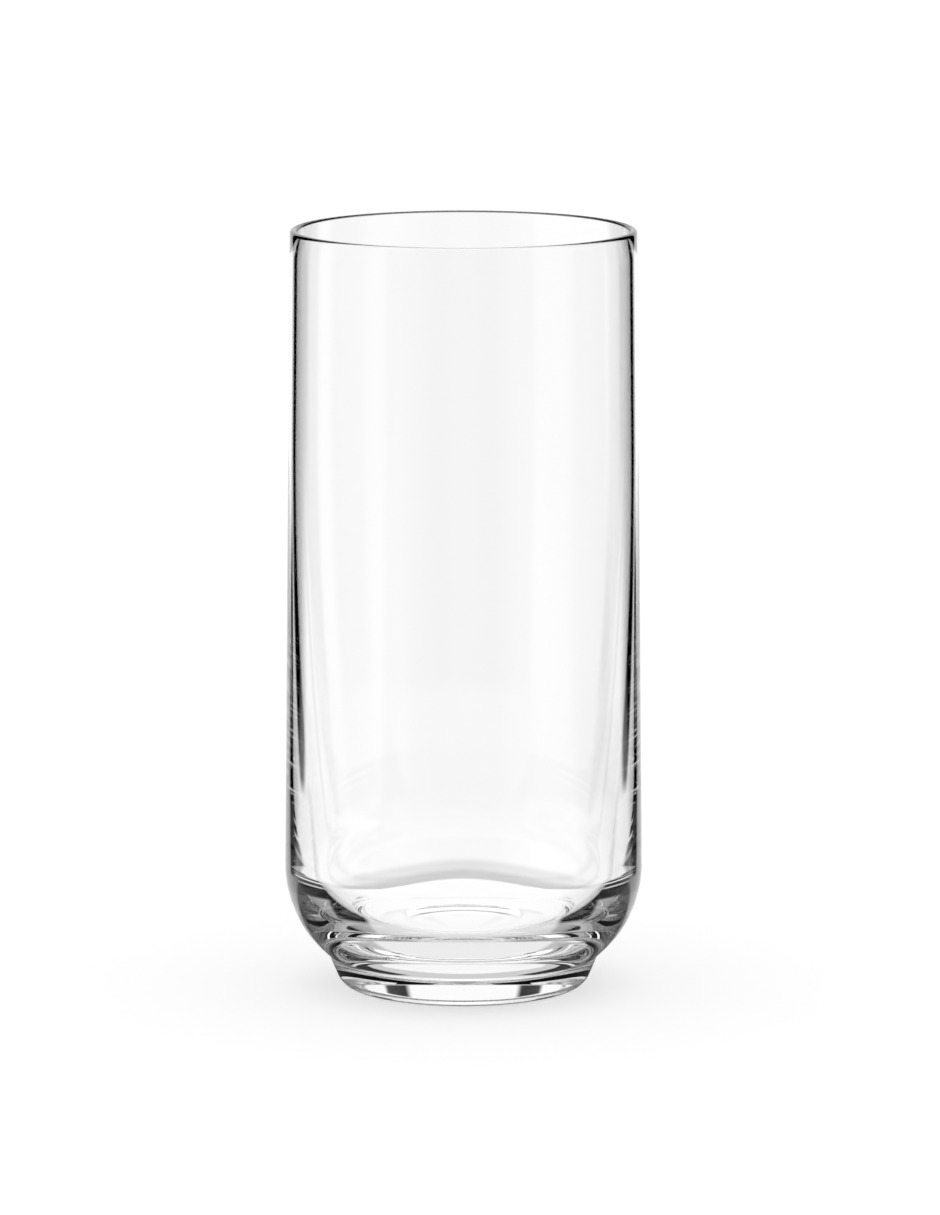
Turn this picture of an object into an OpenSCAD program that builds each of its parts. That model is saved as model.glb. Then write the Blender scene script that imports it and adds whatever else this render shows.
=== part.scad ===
// Highball glass: a tall, clear tumbler made as one piece of soda-lime glass.
// The profile is turned once round the Z axis. Z = 0 is the surface it stands on.

/* [Body] */
// Height from the resting surface to the top of the rim
glass_h = 150; // [120:1:190]
// Outer diameter at the rim
rim_d = 67.7; // [62:0.1:70]
// Greatest outer diameter, where the wall turns in towards the foot
body_d = 70.4; // [67:0.1:76]
// Height at which the wall starts to turn in
turn_h = 24.2; // [20:0.1:28]
// Radius of the rounded underside of the body
turn_r = 22.7; // [20:0.1:28]

/* [Foot] */
// Height of the foot, up to the crease under the body
foot_h = 6.5; // [5:0.1:8]
// Slope of the foot's side from the vertical, in degrees
foot_taper = 23.6; // [10:0.1:30]
// Radius of the foot's lower edge
foot_edge_r = 3.9; // [1:0.1:4.5]
// Radius in the crease between body and foot
crease_r = 0.6; // [0.2:0.1:1.2]
// Width of the flat ring on which the glass stands
rest_w = 9; // [0.6:0.1:12]
// Rise of the hollow inside that ring
punt_h = 1.5; // [0.4:0.1:3]

/* [Inside] */
// Wall thickness from the rim down to where the wall starts to swell
rim_wall = 1.45; // [1:0.05:2.5]
// Height at which the wall starts to swell
swell_h = 107; // [80:1:118]
// Wall thickness just above the inside corner
heel_wall = 5; // [3:0.1:6]
// Thickness of the solid base, from the resting surface to the inner floor
base_t = 12; // [10:0.1:18]
// Radius of the corner between inner wall and inner floor
corner_r = 13.6; // [6:0.1:16]

/* [Hidden] */

clear_glass = [0.93, 0.97, 0.96, 0.45];
arc_steps = 16;
swell_steps = 24;
// Side count of the turned solid
round_fn = 180;

rim_r = rim_d / 2;
body_r = body_d / 2;
rim_edge_r = rim_wall / 2;
wall_lean = atan((body_r - rim_r) / (glass_h - turn_h));

// Centre of the arc under the body, and the radius at which it would meet the foot in a sharp crease
turn_centre = [body_r - turn_r, turn_h];
foot_top_r = turn_centre.x + sqrt(pow(turn_r, 2) - pow(turn_h - foot_h, 2));

// Directions along the foot's side, upwards, and out of it
side_up = [sin(foot_taper), cos(foot_taper)];
side_out = [cos(foot_taper), -sin(foot_taper)];

// The crease's arc touches the foot's side and the arc under the body
crease_start = [foot_top_r, foot_h] + crease_r * side_out - turn_centre;
crease_slide = -crease_start * side_up
    - sqrt(pow(crease_start * side_up, 2) - crease_start * crease_start + pow(turn_r + crease_r, 2));
crease_arm = crease_start + crease_slide * side_up;
crease_centre = turn_centre + crease_arm;
crease_angle = atan2(crease_arm.y, crease_arm.x);

// Outer and inner edge of the flat ring, and the sphere that hollows the underside inside it
rest_r = foot_top_r - (foot_h - foot_edge_r * (1 - sin(foot_taper))) * tan(foot_taper)
    - foot_edge_r * cos(foot_taper);
hollow_r = rest_r - rest_w;
punt_r = (pow(hollow_r, 2) + pow(punt_h, 2)) / (2 * punt_h);
punt_half_angle = asin(hollow_r / punt_r);

// Height at which the inner wall ends and the corner starts
heel_h = base_t + corner_r;
heel_lean = atan(2 * (heel_wall - rim_wall) / (swell_h - heel_h) - tan(wall_lean));
heel_drop = corner_r * sin(heel_lean);

function outer_r(z) = rim_r + (glass_h - z) * tan(wall_lean);
function wall_t(z) = rim_wall + (heel_wall - rim_wall) * pow((swell_h - z) / (swell_h - heel_h), 2);
function inner_r(z) = outer_r(z) - wall_t(z);

corner_centre = [inner_r(heel_h) - heel_drop * tan(heel_lean) - corner_r * cos(heel_lean), heel_h];

function arc(centre, radius, from, to) = [
    for (i = [0 : arc_steps])
        let (angle = from + (to - from) * i / arc_steps)
            centre + radius * [cos(angle), sin(angle)]
];

// Half of the section, from the middle of the underside round to the middle of the inner floor
under_side = arc([0, punt_h - punt_r], punt_r, 90, 90 - punt_half_angle);
foot_edge = arc([rest_r, foot_edge_r], foot_edge_r, -90, -foot_taper);
crease = arc(crease_centre, crease_r, 180 - foot_taper, 180 + crease_angle);
body_turn = arc(turn_centre, turn_r, crease_angle, wall_lean);
rim_edge = arc([rim_r - rim_edge_r, glass_h - rim_edge_r], rim_edge_r, wall_lean, 180 + wall_lean);
inner_wall = [
    for (i = [0 : swell_steps])
        let (z = swell_h - (swell_h - heel_h) * i / swell_steps)
            [inner_r(z), z]
];
inner_corner = arc(corner_centre, corner_r, -heel_lean, -90);
inner_middle = [[0, base_t]];

section = concat(under_side, foot_edge, crease, body_turn, rim_edge, inner_wall, inner_corner, inner_middle);

module tumbler() {
    color(clear_glass)
        rotate_extrude($fn = round_fn)
            polygon(section);
}

tumbler();
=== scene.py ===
# %% [markdown]
# The subject is a tall drinking glass, made as one piece of clear soda-lime glass: a nearly straight
# thin wall, a heavy rounded base, a short tapered foot and a rim melted smooth. Clear glass has hardly
# any look of its own. What the eye sees in it is the room around it, bent and mirrored by its curves,
# so this lesson spends as much care on the exact section of the glass and on the studio as on the
# material.
#
# The frame gives the real size and place of the glass. All of this file is in metres, so sizes that are
# easier to think of in millimetres are multiplied by MM.

# %% Load the frame
import math

import bpy
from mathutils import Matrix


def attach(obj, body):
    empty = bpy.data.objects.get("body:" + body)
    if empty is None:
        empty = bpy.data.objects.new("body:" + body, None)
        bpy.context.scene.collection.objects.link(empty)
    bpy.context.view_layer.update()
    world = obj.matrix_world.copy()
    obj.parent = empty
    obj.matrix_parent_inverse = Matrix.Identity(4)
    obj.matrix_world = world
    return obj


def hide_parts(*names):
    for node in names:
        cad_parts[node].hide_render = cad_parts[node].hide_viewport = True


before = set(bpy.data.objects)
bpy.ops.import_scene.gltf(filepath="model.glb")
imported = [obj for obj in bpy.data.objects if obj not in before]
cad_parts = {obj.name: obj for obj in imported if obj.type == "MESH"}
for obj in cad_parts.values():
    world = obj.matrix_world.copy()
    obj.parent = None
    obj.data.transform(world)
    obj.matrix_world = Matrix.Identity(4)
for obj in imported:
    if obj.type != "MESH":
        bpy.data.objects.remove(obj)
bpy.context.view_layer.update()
MM = 0.001

# %% [markdown]
# The photo was taken from well back with a long lens, a little above the rim, and the camera is tilted
# down. The upright edges of the glass stay almost parallel, and the rim shows as a narrow ellipse. The
# distance could be guessed and the picture cropped, but here the height of the camera, its distance and
# its tilt were worked out together from how open the ellipses of the rim and of the foot are.

# %% The camera
CAMERA_BACK = 1455 * MM
CAMERA_UP = 312 * MM
CAMERA_TILT = math.radians(9.24)
CAMERA_TURN = math.radians(0.05)
CAMERA_LENS = 222.5
FARTHEST_SEEN = 50

bpy.ops.object.camera_add(
    location=(0, -CAMERA_BACK, CAMERA_UP),
    rotation=(math.pi / 2 - CAMERA_TILT, 0, -CAMERA_TURN),
)
camera = bpy.context.object
camera.name = "studio_camera"
camera.data.lens = CAMERA_LENS
camera.data.clip_end = FARTHEST_SEEN
bpy.context.scene.camera = camera
print("camera at", tuple(round(v, 3) for v in camera.location))

# %% [markdown]
# A glass like this is turned round one axis, so it is fully told by half of its section: up the outside,
# over the rim, and down the inside. It could be made from cylinders with bevelled edges, but each curve
# here has its own job. The long arc under the body makes the dark and light lens shapes of the base, the
# slow swelling of the wall draws the black lines beside the edges, and the corner inside gathers light
# like a drop of water. So the section is built from exact lines and arcs that run into each other
# without a kink. The sizes are those of the part itself.

# %% Sizes of the glass, in millimetres
GLASS_H = 150.0
RIM_R = 67.7 / 2
BODY_R = 70.4 / 2
TURN_H = 24.2
TURN_R = 22.7
FOOT_H = 6.5
FOOT_TAPER = math.radians(23.6)
FOOT_EDGE_R = 3.9
CREASE_R = 0.6
REST_W = 9.0
PUNT_H = 1.5
RIM_WALL = 1.45
SWELL_H = 107.0
HEEL_WALL = 5.0
BASE_T = 12.0
CORNER_R = 13.6

WALL_LEAN = math.atan((BODY_R - RIM_R) / (GLASS_H - TURN_H))
HEEL_H = BASE_T + CORNER_R
HEEL_LEAN = math.atan(2 * (HEEL_WALL - RIM_WALL) / (SWELL_H - HEEL_H) - math.tan(WALL_LEAN))
print("the wall leans", round(math.degrees(WALL_LEAN), 2), "degrees outwards on its way down")


# %% Lines and arcs of the section
def arc(centre, radius, start, end, steps):
    """Points on an arc, from the start angle to the end angle."""
    angles = [start + (end - start) * i / steps for i in range(steps + 1)]
    return [(centre[0] + radius * math.cos(a), centre[1] + radius * math.sin(a)) for a in angles]


def straight(start, end, steps):
    """Points between two ends, without the ends."""
    shares = [i / steps for i in range(1, steps)]
    return [(start[0] + (end[0] - start[0]) * s, start[1] + (end[1] - start[1]) * s) for s in shares]


def inner_r(height):
    """Radius of the inner wall, which leans as the outer wall does and swells below SWELL_H."""
    outer = RIM_R + (GLASS_H - height) * math.tan(WALL_LEAN)
    swelling = (max(SWELL_H - height, 0) / (SWELL_H - HEEL_H)) ** 2
    return outer - RIM_WALL - (HEEL_WALL - RIM_WALL) * swelling


# %% [markdown]
# The outside starts in the middle of the hollow under the foot. A flat ring carries the glass, the edge
# of the foot is round, and its side leans outwards up to a tight crease, where the big arc under the
# body starts. The crease's small arc has to touch both, so its centre is found where it is one radius
# away from the side of the foot and TURN_R + CREASE_R away from the centre of the big arc.

# %% Centres and radii of the outside
turn_centre = (BODY_R - TURN_R, TURN_H)
foot_top_r = turn_centre[0] + math.sqrt(TURN_R**2 - (TURN_H - FOOT_H) ** 2)
side_up = (math.sin(FOOT_TAPER), math.cos(FOOT_TAPER))
side_out = (math.cos(FOOT_TAPER), -math.sin(FOOT_TAPER))
offset = (
    foot_top_r + CREASE_R * side_out[0] - turn_centre[0],
    FOOT_H + CREASE_R * side_out[1] - turn_centre[1],
)
along = offset[0] * side_up[0] + offset[1] * side_up[1]
slide = -along - math.sqrt(along**2 - offset[0] ** 2 - offset[1] ** 2 + (TURN_R + CREASE_R) ** 2)
arm = (offset[0] + slide * side_up[0], offset[1] + slide * side_up[1])
crease_centre = (turn_centre[0] + arm[0], turn_centre[1] + arm[1])
crease_angle = math.atan2(arm[1], arm[0])

edge_rise = FOOT_H - FOOT_EDGE_R * (1 - math.sin(FOOT_TAPER))
rest_r = foot_top_r - edge_rise * math.tan(FOOT_TAPER) - FOOT_EDGE_R * math.cos(FOOT_TAPER)
hollow_r = rest_r - REST_W
punt_r = (hollow_r**2 + PUNT_H**2) / (2 * PUNT_H)
punt_half = math.asin(hollow_r / punt_r)
print("the foot stands on a ring", round(2 * rest_r, 1), "mm wide")

# %% The outside of the section
HOLLOW_STEPS = 24
RING_STEPS = 8
EDGE_STEPS = 16
CREASE_STEPS = 6
TURN_STEPS = 40

outside = arc((0, PUNT_H - punt_r), punt_r, math.pi / 2, math.pi / 2 - punt_half, HOLLOW_STEPS)
outside += straight(outside[-1], (rest_r, 0), RING_STEPS)
outside += arc((rest_r, FOOT_EDGE_R), FOOT_EDGE_R, -math.pi / 2, -FOOT_TAPER, EDGE_STEPS)
outside += arc(crease_centre, CREASE_R, math.pi - FOOT_TAPER, math.pi + crease_angle, CREASE_STEPS)
outside += arc(turn_centre, TURN_R, crease_angle, WALL_LEAN, TURN_STEPS)
print("outside of the section:", len(outside), "points")

# %% [markdown]
# The rim is as round as glass that was melted by a flame: half a circle from the outer wall to the
# inner. Below it the inner wall first runs parallel to the outer one. Then the wall gets thicker,
# slowly at first and faster further down, as gravity and the mould leave it, until a wide round corner
# leads to the flat inner floor.

# %% The rim and the inside of the section
RIM_STEPS = 16
TOP_STEPS = 10
SWELL_STEPS = 60
CORNER_STEPS = 40
INNER_FLOOR_STEPS = 12
OUTER_WALL_STEPS = 30

rim_centre = (RIM_R - RIM_WALL / 2, GLASS_H - RIM_WALL / 2)
rim = arc(rim_centre, RIM_WALL / 2, WALL_LEAN, math.pi + WALL_LEAN, RIM_STEPS)

swell_start = (inner_r(SWELL_H), SWELL_H)
inside = straight(rim[-1], swell_start, TOP_STEPS)
for i in range(SWELL_STEPS + 1):
    height = SWELL_H - (SWELL_H - HEEL_H) * i / SWELL_STEPS
    inside.append((inner_r(height), height))
drop = CORNER_R * math.sin(HEEL_LEAN)
corner_centre = (
    inner_r(HEEL_H) - drop * math.tan(HEEL_LEAN) - CORNER_R * math.cos(HEEL_LEAN),
    HEEL_H,
)
inside += arc(corner_centre, CORNER_R, -HEEL_LEAN, -math.pi / 2, CORNER_STEPS)
inside += straight(inside[-1], (0, BASE_T), INNER_FLOOR_STEPS)
inside.append((0, BASE_T))

section = outside + straight(outside[-1], rim[0], OUTER_WALL_STEPS) + rim + inside
print("whole section:", len(section), "points")

# %% [markdown]
# The section becomes a solid of glass the way a potter's template does: it is drawn once and swept
# round the axis. A Screw modifier on a curve would do as well. Here one vertex is extruded from point to
# point, and Spin turns the line through a full circle. Light bends at each face, so there are many
# steps round the circle, and shading is smooth. The first and last ring fall together, and so do the
# points on the axis, so doubles are merged before the normals are turned outwards.

# %% Turn the glass
SPIN_STEPS = 288
SAME_POINT = 0.0004 * MM

bpy.ops.object.select_all(action="DESELECT")
bpy.ops.mesh.primitive_plane_add(size=MM)
glass = bpy.context.object
glass.name = "turned_glass"
bpy.ops.object.mode_set(mode="EDIT")
bpy.ops.mesh.merge(type="CENTER")
bpy.ops.transform.translate(value=(section[0][0] * MM, 0, section[0][1] * MM))
for start, end in zip(section, section[1:]):
    move = ((end[0] - start[0]) * MM, 0, (end[1] - start[1]) * MM)
    bpy.ops.mesh.extrude_vertices_move(TRANSFORM_OT_translate={"value": move})
bpy.ops.mesh.select_all(action="SELECT")
bpy.ops.mesh.spin(steps=SPIN_STEPS, angle=2 * math.pi, center=(0, 0, 0), axis=(0, 0, 1))
bpy.ops.mesh.select_all(action="SELECT")
bpy.ops.mesh.remove_doubles(threshold=SAME_POINT)
bpy.ops.mesh.normals_make_consistent(inside=False)
bpy.ops.object.mode_set(mode="OBJECT")
bpy.ops.object.shade_smooth()
print("turned glass:", len(glass.data.polygons), "faces,", len(glass.data.vertices), "vertices")


# %% [markdown]
# Materials and the studio are made of shader nodes. One helper adds a node, sets what it is told and
# joins it up. An input may be given a number, a socket, or another node, of which it then takes the
# first output.

# %% Add a node, and turn hex colours linear
def add_node(tree, kind, inputs=None, **settings):
    """Add a node with its settings, and give its inputs values or links."""
    node = tree.nodes.new(kind)
    for key, value in settings.items():
        setattr(node, key, value)
    for name, value in (inputs or {}).items():
        if isinstance(value, bpy.types.Node):
            value = value.outputs[0]
        if isinstance(value, bpy.types.NodeSocket):
            tree.links.new(value, node.inputs[name])
        else:
            node.inputs[name].default_value = value
    return node


def linear(hex_colour):
    """An sRGB colour written as #RRGGBB, as the linear values that shaders work with."""
    parts = [int(hex_colour[i : i + 2], 16) / 255 for i in (1, 3, 5)]
    bent = [p / 12.92 if p <= 0.04045 else ((p + 0.055) / 1.055) ** 2.4 for p in parts]
    return (*bent, 1)


# %% [markdown]
# The glass is clear soda-lime glass, pressed and then flame polished. It has no roughness at all, an
# index of refraction of 1.52, and so little iron that it stays colourless even in the heavy base. Such
# glass cools against a mould, so its surface isn't an optician's: it swims a little, in waves some 18 mm
# long and a few ten-thousandths of a millimetre high. A bump from soft noise gives that. It is too
# small to see on the surface, but reflections and the lines in the base waver with it.
#
# Light that passes through glass on its way to the floor would come out as a bright caustic full of
# noise. For shadow rays each surface is plainly see-through instead, and takes a share of the light,
# which leaves the pale, even shadow that a glass has under a large soft lamp.

# %% The glass material
GLASS_COLOUR = "#FEFEFE"
GLASS_IOR = 1.52
WAVE_LENGTH = 18 * MM
WAVE_HEIGHT = 0.0005 * MM
SHADOW_COLOUR = "#C8C8C8"

soda_lime = bpy.data.materials.new("soda_lime_glass_fire_polished")
soda_lime.use_nodes = True
tree = soda_lime.node_tree
tree.nodes.clear()
place = add_node(tree, "ShaderNodeTexCoord")
waves = add_node(
    tree,
    "ShaderNodeTexNoise",
    {"Vector": place.outputs["Object"], "Scale": 1 / WAVE_LENGTH, "Detail": 1.0, "Roughness": 0.4},
)
swimming = add_node(tree, "ShaderNodeBump", {"Strength": 1.0, "Distance": WAVE_HEIGHT, "Height": waves})
clear = add_node(
    tree,
    "ShaderNodeBsdfPrincipled",
    {
        "Base Color": linear(GLASS_COLOUR),
        "Roughness": 0.0,
        "IOR": GLASS_IOR,
        "Transmission Weight": 1.0,
        "Normal": swimming,
    },
)
shadow = add_node(tree, "ShaderNodeBsdfTransparent", {"Color": linear(SHADOW_COLOUR)})
ray = add_node(tree, "ShaderNodeLightPath")
surface = add_node(tree, "ShaderNodeMixShader", {0: ray.outputs["Is Shadow Ray"], 1: clear, 2: shadow})
add_node(tree, "ShaderNodeOutputMaterial", {"Surface": surface})

glass.data.materials.append(soda_lime)
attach(glass, "root")
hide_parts("tumbler")
print("material:", soda_lime.name, "with", len(tree.nodes), "nodes")

# %% [markdown]
# Now the studio. Glass on white is lit by its surroundings: the floor and the wall behind are white, and
# the edges get their black lines from black cards that stand beside the white, just out of the picture.
# In front lies the room, dim round the camera and with a softbox on either side, and the wall of the
# glass shows these as pale upright streaks.
#
# Real cards stand at one place, and each kind of ray meets them in its own way: rays that only pass
# through the glass, rays that its skin mirrors, rays that are mirrored once inside it, and rays that run
# round in it many times. A card could be modelled and moved about for days to please all four. Here the
# wall, the cards and the floor are a pattern of light that only rays from the glass can see, and each
# kind of ray gets its own cards. Everything else sees a plain pale room.
#
# The pattern is built of two small things: a level that changes softly along a value, and a blend of
# two levels. What the values are comes after that. A direction is told by its bearing: 0 degrees is
# straight behind the glass, 90 to the right, 180 towards the camera. Most of the pattern is the same on
# both sides, so it reads the bearing's size, called side. On the floor, reach is the distance from the
# middle of the glass in metres.


# %% Soft levels and blends
def edges(tree, value, first, *turns):
    """A level that starts at the first number and changes softly: (from, to, new level) and so on."""
    total = first
    level = first
    for start, end, new in turns:
        change = add_node(
            tree,
            "ShaderNodeMapRange",
            {"Value": value, "From Min": start, "From Max": end, "To Min": 0.0, "To Max": new - level},
            interpolation_type="SMOOTHSTEP",
        )
        total = add_node(tree, "ShaderNodeMath", {0: total, 1: change}, operation="ADD")
        level = new
    return total


def at_least(tree, counter, count):
    """1 for a ray to which something has happened this many times or more, and 0 for the others."""
    return edges(tree, counter, 0, (count - 0.6, count - 0.4, 1))


def blend(tree, share, first, second):
    """The first level where the share is 0, the second where it is 1."""
    gap = add_node(tree, "ShaderNodeMath", {0: second, 1: first}, operation="SUBTRACT")
    return add_node(tree, "ShaderNodeMath", {0: gap, 1: share, 2: first}, operation="MULTIPLY_ADD")


# %% [markdown]
# The renderer counts how often a ray was mirrored and how often it passed a surface, and these two
# counts tell the kinds of ray apart. Rays that the paper has scattered are left out of the pattern,
# although they come through the glass too, because they light the paper at the foot, where the glass
# keeps a dark shadow. They get the plain room instead.


# %% What a ray of the pattern has to know
def way_of(tree, vector):
    """Bearing, reach and history of a ray that meets the studio, as nodes and sockets."""
    parts = add_node(tree, "ShaderNodeSeparateXYZ", {0: vector})
    right, behind, up = parts.outputs
    angle = add_node(tree, "ShaderNodeMath", {0: right, 1: behind}, operation="ARCTAN2")
    bearing = add_node(tree, "ShaderNodeMath", {0: angle}, operation="DEGREES")
    reach = add_node(tree, "ShaderNodeVectorMath", {0: vector}, operation="LENGTH")
    ray = add_node(tree, "ShaderNodeLightPath")
    is_passed = ray.outputs["Is Transmission Ray"]
    is_mirrored = ray.outputs["Is Glossy Ray"]
    from_glass = add_node(tree, "ShaderNodeMath", {0: is_passed, 1: is_mirrored}, operation="MAXIMUM")
    unscattered = blend(tree, at_least(tree, ray.outputs["Diffuse Depth"], 1), 1, 0)
    return {
        "bearing": bearing,
        "side": add_node(tree, "ShaderNodeMath", {0: bearing}, operation="ABSOLUTE"),
        "right": right,
        "across": add_node(tree, "ShaderNodeMath", {0: right}, operation="ABSOLUTE"),
        "behind": behind,
        "up": up,
        "reach": reach.outputs["Value"],
        "mirrored": ray.outputs["Glossy Depth"],
        "passed": ray.outputs["Transmission Depth"],
        "camera": ray.outputs["Is Camera Ray"],
        "glass": add_node(tree, "ShaderNodeMath", {0: from_glass, 1: unscattered}, operation="MULTIPLY"),
    }


# %% [markdown]
# Round the camera's side of the glass, from a bearing of about 50 degrees on, lies the room. On the left
# stands a wide softbox. On the right the room is dim at first, and then comes a narrower one. Behind the
# camera it is dim, which keeps the middle of the glass a light grey. The black cards stand between the
# room and the white wall, with a white gap between them, which shows as a bright streak inside the black
# edge of the glass.

# %% The room and the black cards
DIM_LEVEL = 0.42
ROOM_TURNS = (
    (-152, -140, 0.62),
    (-131, -124, 1.1),
    (-20, 20, 0.95),
    (66, 76, 0.35),
    (98, 112, 0.8),
    (130, 140, 0.6),
    (145, 160, DIM_LEVEL),
)
ROOM_START = (49, 57, 1)
CARD_TURNS = ((21, 23, 1), (29.5, 31.5, 0), (42.5, 44.5, 1))


def lit_room(tree, way):
    """The light of the room round the camera's side of the glass, by bearing."""
    return edges(tree, way["bearing"], DIM_LEVEL, *ROOM_TURNS)


def in_room(tree, way):
    """1 on the room's side, and 0 on the wall's."""
    return edges(tree, way["side"], 0, ROOM_START)


def black_cards(tree, way):
    """1 where a black card stands behind the glass, and 0 where the wall is white."""
    return edges(tree, way["side"], 0, *CARD_TURNS)


# %% [markdown]
# The thick base needs finer light than cards can give, because each of its dark and bright shapes comes
# from another small part of the surroundings. Tables hold it: a row for each band of height or reach,
# and in it a level for each band of side. The levels were found by rendering the base with one band lit
# at a time and weighing those pictures, until their sum came nearest to the base in the photo.

# %% Levels in tables
SIDE_BANDS = (22, 60, 90, 120, 150)
SIDE_SOFTNESS = 3


def by_side(tree, way, levels):
    """The levels of one row, a level for each band of side."""
    turns = [
        (band - SIDE_SOFTNESS, band + SIDE_SOFTNESS, level) for band, level in zip(SIDE_BANDS, levels[1:])
    ]
    return edges(tree, way["side"], levels[0], *turns)


def table(tree, way, key, bounds, softness, rows):
    """The levels of all rows, a row for each band of the key."""
    total = by_side(tree, way, rows[0])
    for bound, row in zip(bounds, rows[1:]):
        beyond = edges(tree, way[key], 0, (bound - softness, bound + softness, 1))
        total = blend(tree, beyond, total, by_side(tree, way, row))
    return total


# %% [markdown]
# The floor is white paper. Rays that the glass mirrors see where the black cards stand on it: on two
# lines that open away from the camera, with black outside them. On the skin that draws the thin black
# outline of the glass. Rays that were mirrored inside the glass also see a dark strip between the
# lines, which fades out further behind. It gives the wall the black line beside its edge.

# %% The cards on the floor
LINE_START = 0.055
LINE_SPREAD = 0.42
LINE_SOFTNESS = 0.004
LINE_SOFTENING = 0.03
LINES_BEGIN = (0.0, 0.03, 1)
STRIP_TURNS = ((21, 23, 1), (26, 29, 0))
STRIP_END = (0.35, 0.60, 1)


def past_lines(tree, way):
    """1 outside the lines on which the cards stand, and 0 between them."""
    spread = {0: way["behind"], 1: LINE_SPREAD, 2: LINE_START}
    line = add_node(tree, "ShaderNodeMath", spread, operation="MULTIPLY_ADD")
    past = add_node(tree, "ShaderNodeMath", {0: way["across"], 1: line}, operation="SUBTRACT")
    depth = add_node(tree, "ShaderNodeMath", {0: way["behind"]}, operation="ABSOLUTE")
    softening = {0: depth, 1: LINE_SOFTENING, 2: LINE_SOFTNESS}
    softness = add_node(tree, "ShaderNodeMath", softening, operation="MULTIPLY_ADD")
    ratio = add_node(tree, "ShaderNodeMath", {0: past, 1: softness}, operation="DIVIDE")
    begin = edges(tree, way["behind"], 0, LINES_BEGIN)
    return blend(tree, begin, 0, edges(tree, ratio, 0, (-1, 1, 1)))


def dark_strip(tree, way):
    """1 in the dark strip between the lines, and 0 beside it and far behind."""
    strip = edges(tree, way["side"], 0, *STRIP_TURNS)
    return blend(tree, edges(tree, way["reach"], 0, STRIP_END), strip, 0)


# %% [markdown]
# Close to the glass, rays that were mirrored once see a table of their own. Across its dark parts run
# thin bright gaps like rungs, of uneven strength, made by two waves along the reach. They show as the
# short white dashes in the black band low in the wall. Further out on both sides, past a line that
# slants a little, the paper is white.

# %% The paper beside the glass, for rays that were mirrored once
ONCE_BOUNDS = (0.030, 0.045, 0.075)
ONCE_SOFTNESS = 0.0015
ONCE_ROWS = (
    (1.1, 0.6, 0.0, 0.55, 0.88, 0.88),
    (0.0, 1.0, 0.45, 0.0, 0.75, 0.75),
    (0.7, 0.0, 0.0, 0.0, 0.9, 0.9),
    (1.05, 0.0, 0.5, 0.8, 1.2, 1.2),
)
SLANT = 0.2
WHITE_START = (0.073, 0.079, 1)
RUNG_SIDES = ((26, 32, 1), (80, 90, 0))
RUNG_START = (0.050, 0.060, 1)
RUNG_WAVES = ((0.0080, 0.0, (0.3, 0.8, 1)), (0.0290, 0.4, (-0.6, 0.6, 1)))


def rungs(tree, way):
    """Thin bright gaps across the dark paper beside the glass, of uneven strength."""
    total = edges(tree, way["side"], 0, *RUNG_SIDES)
    total = blend(tree, edges(tree, way["reach"], 0, RUNG_START), 0, total)
    for spacing, weakest, turn in RUNG_WAVES:
        turning = {0: way["reach"], 1: math.tau / spacing}
        phase = add_node(tree, "ShaderNodeMath", turning, operation="MULTIPLY")
        wave = add_node(tree, "ShaderNodeMath", {0: phase}, operation="SINE")
        level = edges(tree, wave, weakest, turn)
        total = add_node(tree, "ShaderNodeMath", {0: total, 1: level}, operation="MULTIPLY")
    return total


def paper_seen_once(tree, way):
    """The paper near the glass, as rays that were mirrored once see it."""
    levels = table(tree, way, "reach", ONCE_BOUNDS, ONCE_SOFTNESS, ONCE_ROWS)
    slant = {0: way["behind"], 1: SLANT, 2: way["across"]}
    slanted = add_node(tree, "ShaderNodeMath", slant, operation="MULTIPLY_ADD")
    levels = blend(tree, edges(tree, slanted, 0, WHITE_START), levels, 1)
    return blend(tree, rungs(tree, way), levels, 1)


# %% [markdown]
# Rays that go straight through the cup and come down close behind the foot see a narrow painted shade
# on the paper there, made in the paper's light and cast by no lamp. It runs round a point straight
# behind the glass and back along both sides, and ends before it is beside the foot. The glass bends it
# into the grey arc above its inner floor. Rays that only cut through the rim, or through the solid base,
# come down on darker paper, up to some 30 cm behind the glass, which gives the rim its thin dark line.

# %% The painted shade behind the foot, seen straight through
SHADE_SLANT = 0.87
SHADE_ROUNDING = 0.035
SHADE_START = 1.05
SHADE_TURNS = ((0.0545, 0.056, 0.62), (0.061, 0.068, 0.82), (0.072, 0.080, 1.02))
SHADE_ENDS = (0.026, 0.042, 1)
RIM_LEVEL = 0.12
RIM_TURN = (0.24, 0.36, 1)


def foot_shade(tree, way):
    """The paper behind the glass, with its painted shade, as rays that are never mirrored see it."""
    left = add_node(tree, "ShaderNodeMath", {0: way["right"], 1: -1}, operation="MULTIPLY")
    sides = {0: way["right"], 1: left, 2: SHADE_ROUNDING}
    rounded = add_node(tree, "ShaderNodeMath", sides, operation="SMOOTH_MAX")
    leaning = {0: rounded, 1: SHADE_SLANT, 2: way["behind"]}
    distance = add_node(tree, "ShaderNodeMath", leaning, operation="MULTIPLY_ADD")
    # Painted shade: the paper's glow drops to 0.62 just behind the foot and rises again further out.
    shade = edges(tree, distance, SHADE_START, *SHADE_TURNS)
    shade = blend(tree, edges(tree, way["across"], 0, SHADE_ENDS), shade, 1)
    under_rim = edges(tree, way["reach"], RIM_LEVEL, RIM_TURN)
    return blend(tree, at_least(tree, way["passed"], 3), under_rim, shade)


# %% [markdown]
# The four kinds of ray now get their floor. For three of them it is a table near the glass, and the
# lines, the strip and the room further out. Rays that were mirrored often find most of the far floor
# dark, because their light would fill the black line in the wall with grey, and the longer they ran
# round in the glass, the less light they find.

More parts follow.
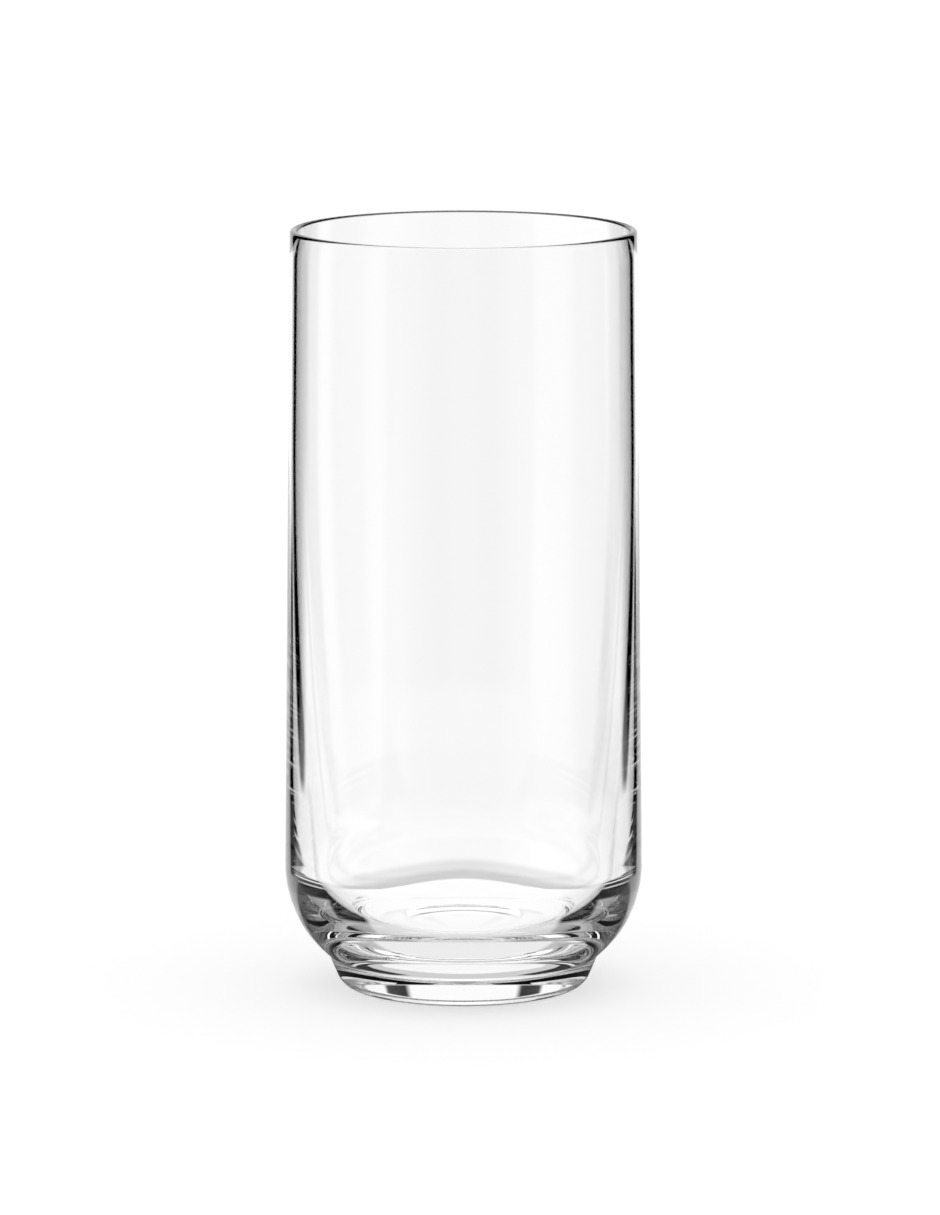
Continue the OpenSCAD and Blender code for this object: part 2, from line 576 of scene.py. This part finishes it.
# %% Light from the floor
FAR_FLOOR = (0.12, 0.14, 1)
ROOM_FLOOR = (0.10, 0.14, 1)
SKIN_BOUNDS = (0.06,)
SKIN_SOFTNESS = 0.005
# Near the glass the skin's table is dark from a side of 60 degrees on: a painted shadow under the body.
SKIN_ROWS = (
    (0.6, 0.6, 0.08, 0.08, 0.08, 0.08),
    (1.0, 1.0, 0.2, 0.2, 0.2, 0.2),
)
OFTEN_BOUNDS = (0.030, 0.060)
OFTEN_SOFTNESS = 0.002
OFTEN_ROWS = (
    (1.2, 1.2, 0.6, 0.6, 0.6, 0.6),
    (0.5, 0.5, 0.5, 0.5, 0.5, 0.5),
    (0.0, 0.0, 0.1, 0.1, 0.1, 0.1),
)
DARK_PAPER = 0.2
OFTEN_SIDES = ((17, 19.5, 0), (70, 90, 0.5))
OFTEN_FADING = (10, 13, 0.03)


def floor_light(tree, way):
    """What rays see on the floor: straight, off the skin, mirrored once, and mirrored often."""
    room = lit_room(tree, way)
    far = edges(tree, way["reach"], 0, FAR_FLOOR)
    open_floor = edges(tree, way["reach"], 0, ROOM_FLOOR)
    room_side = in_room(tree, way)
    room_floor = add_node(tree, "ShaderNodeMath", {0: room_side, 1: open_floor}, operation="MULTIPLY")
    outside = past_lines(tree, way)
    dark = add_node(tree, "ShaderNodeMath", {0: dark_strip(tree, way), 1: outside}, operation="MAXIMUM")

    near_skin = table(tree, way, "reach", SKIN_BOUNDS, SKIN_SOFTNESS, SKIN_ROWS)
    far_skin = blend(tree, room_floor, blend(tree, outside, 1, 0), room)
    skin = blend(tree, far, near_skin, far_skin)

    far_once = blend(tree, room_floor, blend(tree, dark, 1, 0), room)
    once = blend(tree, far, paper_seen_once(tree, way), far_once)

    near_often = table(tree, way, "reach", OFTEN_BOUNDS, OFTEN_SOFTNESS, OFTEN_ROWS)
    far_often = blend(tree, dark, 1, DARK_PAPER)
    for part in (
        edges(tree, way["side"], 1, *OFTEN_SIDES),
        edges(tree, way["mirrored"], 1, OFTEN_FADING),
    ):
        far_often = add_node(tree, "ShaderNodeMath", {0: far_often, 1: part}, operation="MULTIPLY")
    often = blend(tree, far, near_often, far_often)
    return foot_shade(tree, way), skin, once, often


# %% [markdown]
# Above the floor stands the white wall with the cards. A ray that passes only through the solid base
# sees a small black card low on each side, which makes the two dark marks low in the foot, and a greyer
# wall further to the side. Rays that were mirrored often come out of the base in all directions. They
# have three tables by height, for those mirrored up to 6 times, up to 16 times, and more. Those that
# went through the cup as well see an even white.


# %% Tables for rays that leave upwards
HEIGHT_BOUNDS = tuple(math.sin(math.radians(angle)) for angle in (24, 40, 52))
HEIGHT_SOFTNESS = 0.02
FEW_ROWS = (
    (0.5, 0.0, 0.05, 0.05, 0.1, 0.5),
    (1.1, 0.0, 0.5, 0.5, 0.6, 0.6),
    (1.0, 0.5, 0.0, 0.0, 0.4, 0.6),
    (1.3, 0.9, 0.8, 0.8, 1.1, 1.2),
)
MORE_COUNT = 7
MORE_ROWS = (
    (0.7, 0.6, 0.1, 0.1, 0.06, 0.06),
    (0.6, 1.0, 0.0, 0.0, 0.1, 0.1),
    (0.6, 0.0, 0.4, 0.4, 0.1, 0.0),
    (0.6, 1.2, 0.0, 0.0, 0.4, 0.3),
)
MANY_COUNT = 17
MANY_ROWS = (
    (0.6, 0.6, 0.0, 0.0, 0.0, 0.0),
    (0.6, 0.6, 0.1, 0.1, 0.1, 1.3),
    (0.6, 0.7, 0.9, 0.9, 0.3, 0.9),
    (0.0, 0.5, 0.8, 0.8, 0.6, 1.1),
)


def wall_seen_often(tree, way):
    """The wall, the room and the ceiling, as rays that were mirrored often see them."""
    few, more, many = [
        table(tree, way, "up", HEIGHT_BOUNDS, HEIGHT_SOFTNESS, rows)
        for rows in (FEW_ROWS, MORE_ROWS, MANY_ROWS)
    ]
    levels = blend(tree, at_least(tree, way["mirrored"], MORE_COUNT), few, more)
    return blend(tree, at_least(tree, way["mirrored"], MANY_COUNT), levels, many)


# %% Light from the wall, the room and the ceiling
SKIN_CARD = (24, 29, 0)
FOOT_WALL_START = 1.05
FOOT_WALL_TURN = (44, 52, 0.65)
MARK_SIDES = ((17.5, 20.5, 1), (28.5, 31.5, 0))
MARK_HEIGHTS = ((0.13, 0.17, 1), (0.38, 0.44, 0))
CUP_LEVEL = 1.1


def foot_wall(tree, way):
    """The wall with its two low black cards, as rays see it that pass only through the base."""
    level = edges(tree, way["side"], FOOT_WALL_START, FOOT_WALL_TURN)
    mark_side = edges(tree, way["side"], 0, *MARK_SIDES)
    mark_height = edges(tree, way["up"], 0, *MARK_HEIGHTS)
    mark = add_node(tree, "ShaderNodeMath", {0: mark_side, 1: mark_height}, operation="MULTIPLY")
    return blend(tree, mark, level, 0)


def wall_light(tree, way):
    """What rays see above the floor: straight, off the skin, mirrored once, and mirrored often."""
    room = lit_room(tree, way)
    room_side = in_room(tree, way)
    in_cup = at_least(tree, way["passed"], 3)
    through = blend(tree, in_cup, foot_wall(tree, way), 1)
    skin = blend(tree, room_side, edges(tree, way["side"], 1, SKIN_CARD), room)
    once = blend(tree, room_side, blend(tree, black_cards(tree, way), 1, 0), room)
    often = blend(tree, in_cup, wall_seen_often(tree, way), CUP_LEVEL)
    return through, skin, once, often


# %% Choose the light by the ray's history
def glass_light(tree, way, levels):
    """The light that a ray from the glass gets, by how often it passed and was mirrored."""
    through, skin, once, often = levels
    inner = blend(tree, at_least(tree, way["mirrored"], 2), once, often)
    any_mirror = blend(tree, at_least(tree, way["passed"], 1), skin, inner)
    return blend(tree, at_least(tree, way["mirrored"], 1), through, any_mirror)


# %% [markdown]
# The world gives the pattern to rays from the glass, white to the camera, and to everything else an even
# pale light. The floor does the same: rays from the glass see its pattern, and all others see white
# paper, which glows a little so that it reaches the white of the photo's background and still keeps the
# faint shadow of the glass.

# %% The world
ROOM_FILL = 0.55

world = bpy.data.worlds.new("white_studio")
bpy.context.scene.world = world
world.use_nodes = True
tree = world.node_tree
tree.nodes.clear()
place = add_node(tree, "ShaderNodeTexCoord")
way = way_of(tree, place.outputs["Generated"])
pattern = glass_light(tree, way, wall_light(tree, way))
plain = blend(tree, way["glass"], ROOM_FILL, pattern)
shown = blend(tree, way["camera"], plain, 1)
sky = add_node(tree, "ShaderNodeBackground", {"Color": linear("#FFFFFF"), "Strength": shown})
add_node(tree, "ShaderNodeOutputWorld", {"Surface": sky})
print("world nodes:", len(tree.nodes))

# %% The floor
FLOOR_RADIUS = 3.0
FLOOR_SIDES = 96
FLOOR_DROP = 0.05 * MM
PAPER_COLOUR = "#E7E7E7"
PAPER_GLOW = 0.47

bpy.ops.object.select_all(action="DESELECT")
bpy.ops.mesh.primitive_circle_add(
    vertices=FLOOR_SIDES, radius=FLOOR_RADIUS, fill_type="NGON", location=(0, 0, -FLOOR_DROP)
)
floor = bpy.context.object
floor.name = "paper_floor"
paper = bpy.data.materials.new("white_paper_matt")
paper.use_nodes = True
tree = paper.node_tree
tree.nodes.clear()
place = add_node(tree, "ShaderNodeTexCoord")
way = way_of(tree, place.outputs["Object"])
pattern = glass_light(tree, way, floor_light(tree, way))
sheet = add_node(tree, "ShaderNodeBsdfDiffuse", {"Color": linear(PAPER_COLOUR)})
glow = add_node(tree, "ShaderNodeEmission", {"Color": linear("#FFFFFF"), "Strength": PAPER_GLOW})
lit_paper = add_node(tree, "ShaderNodeAddShader", {0: sheet, 1: glow})
for_glass = add_node(tree, "ShaderNodeEmission", {"Color": linear("#FFFFFF"), "Strength": pattern})
shown = add_node(tree, "ShaderNodeMixShader", {0: way["glass"], 1: lit_paper, 2: for_glass})
add_node(tree, "ShaderNodeOutputMaterial", {"Surface": shown})
floor.data.materials.append(paper)
print("floor nodes:", len(tree.nodes))

# %% [markdown]
# One large soft lamp hangs above. A sun lamp with a wide angle is as soft as a big softbox and keeps
# the same strength everywhere. The glass doesn't mirror it, because the pattern above already has what
# the glass should show.

# %% The soft lamp
LAMP_ANGLE = math.radians(60)
LAMP_STRENGTH = 0.5

bpy.ops.object.light_add(type="SUN", location=(0, 0, 1))
lamp = bpy.context.object
lamp.name = "overhead_softbox"
lamp.data.angle = LAMP_ANGLE
lamp.data.energy = LAMP_STRENGTH
lamp.visible_glossy = False
lamp.visible_transmission = False
print("lamp:", lamp.name, "of", round(math.degrees(lamp.data.angle)), "degrees")

# %% [markdown]
# Light runs round in a thick glass base many times before it comes out, so the renderer is allowed far
# more bounces than a room needs. With too few, the base turns black from the inside, and with far more,
# the last faint light lays a pale haze over it. Colours are shown as written, with the Standard view
# transform.

# %% Bounces and colours
BOUNCES = 32

scene = bpy.context.scene
scene.cycles.max_bounces = BOUNCES
scene.cycles.transmission_bounces = BOUNCES
scene.cycles.glossy_bounces = BOUNCES
scene.view_settings.view_transform = "Standard"
print("bounces:", scene.cycles.max_bounces)
